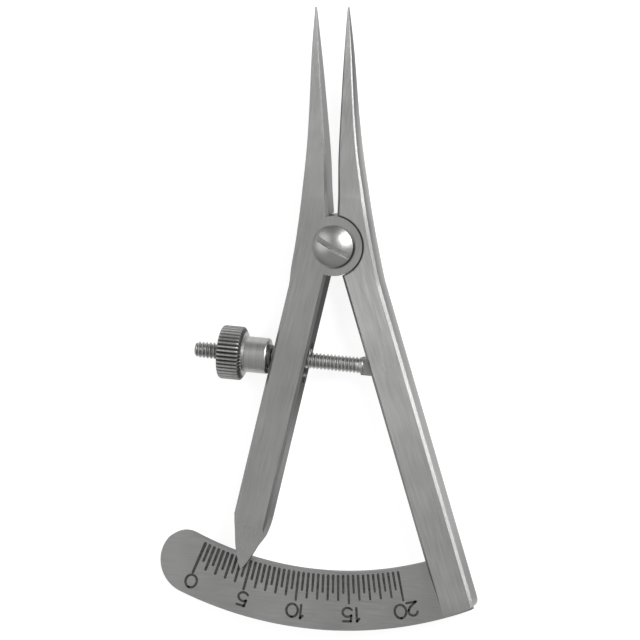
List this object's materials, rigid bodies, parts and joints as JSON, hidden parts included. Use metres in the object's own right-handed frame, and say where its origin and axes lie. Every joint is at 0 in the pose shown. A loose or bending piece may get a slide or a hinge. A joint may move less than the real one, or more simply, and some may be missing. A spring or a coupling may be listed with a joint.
{
  "type": "surgical caliper",
  "caption": "Hand-held surgical caliper: fine points on a half-lap pivot, set by a thumb nut on a threaded rod and read by a pointer on an arc-shaped millimetre scale.",
  "frame": {"origin": "the pivot axis at the plane of the legs' backs", "axes": "+Z along the pivot, towards the face with the graduations; +Y from the pivot to the point of the scale leg, along the line on which the points close"},
  "size_m": [0.0457, 0.0884, 0.0076],
  "materials": {
    "satin_steel_leg": "satin",
    "satin_steel_plate": "satin",
    "polished_steel_screw": "bright satin",
    "spring_steel": "drawn wire",
    "turned_steel": "turned"
  },
  "bodies": {
    "scale_body": {"scale_leg": "satin_steel_leg", "scale_plate": "satin_steel_plate", "pivot_screw": "polished_steel_screw", "rod_hinge_pin": "satin_steel_leg", "return_spring": "spring_steel"},
    "pointer_body": {"pointer_leg": "satin_steel_leg"},
    "rod_body": {"adjusting_rod": "turned_steel"},
    "washer_body": {"thrust_washer": "turned_steel"},
    "nut_body": {"thumb_nut": "turned_steel"}
  },
  "joints": [
    {"name": "leg_pivot", "type": "hinge", "parent": "scale_body", "child": "pointer_body", "pos_m": [0, 0, 0], "axis": [0, 0, 1], "range_deg": [-7.6, 27], "deforming": ["return_spring"]},
    {"name": "rod_swing", "type": "hinge", "parent": "scale_body", "child": "rod_body", "pos_m": [0.00859, -0.0169, 0.0021], "axis": [0, 0, 1], "range_deg": [-2.18, 7.75]},
    {"name": "nut_travel", "type": "slide", "parent": "rod_body", "child": "washer_body", "axis": [0.9998, -0.0199, 0], "range_m": [-0.00232, 0.00825]},
    {"name": "nut_spin", "type": "hinge", "parent": "washer_body", "child": "nut_body", "pos_m": [-0.00887, -0.01656, 0.0021], "axis": [0.9998, -0.0199, 0], "range_deg": [-1577.1, 5602.8]}
  ],
  "couplings": [
    {"joint": "rod_swing", "follows": "leg_pivot", "ratio": 0.287},
    {"joint": "nut_travel", "follows": "leg_pivot", "m_per_rad": 0.017504},
    {"joint": "nut_spin", "follows": "leg_pivot", "ratio": 207.51}
  ]
}
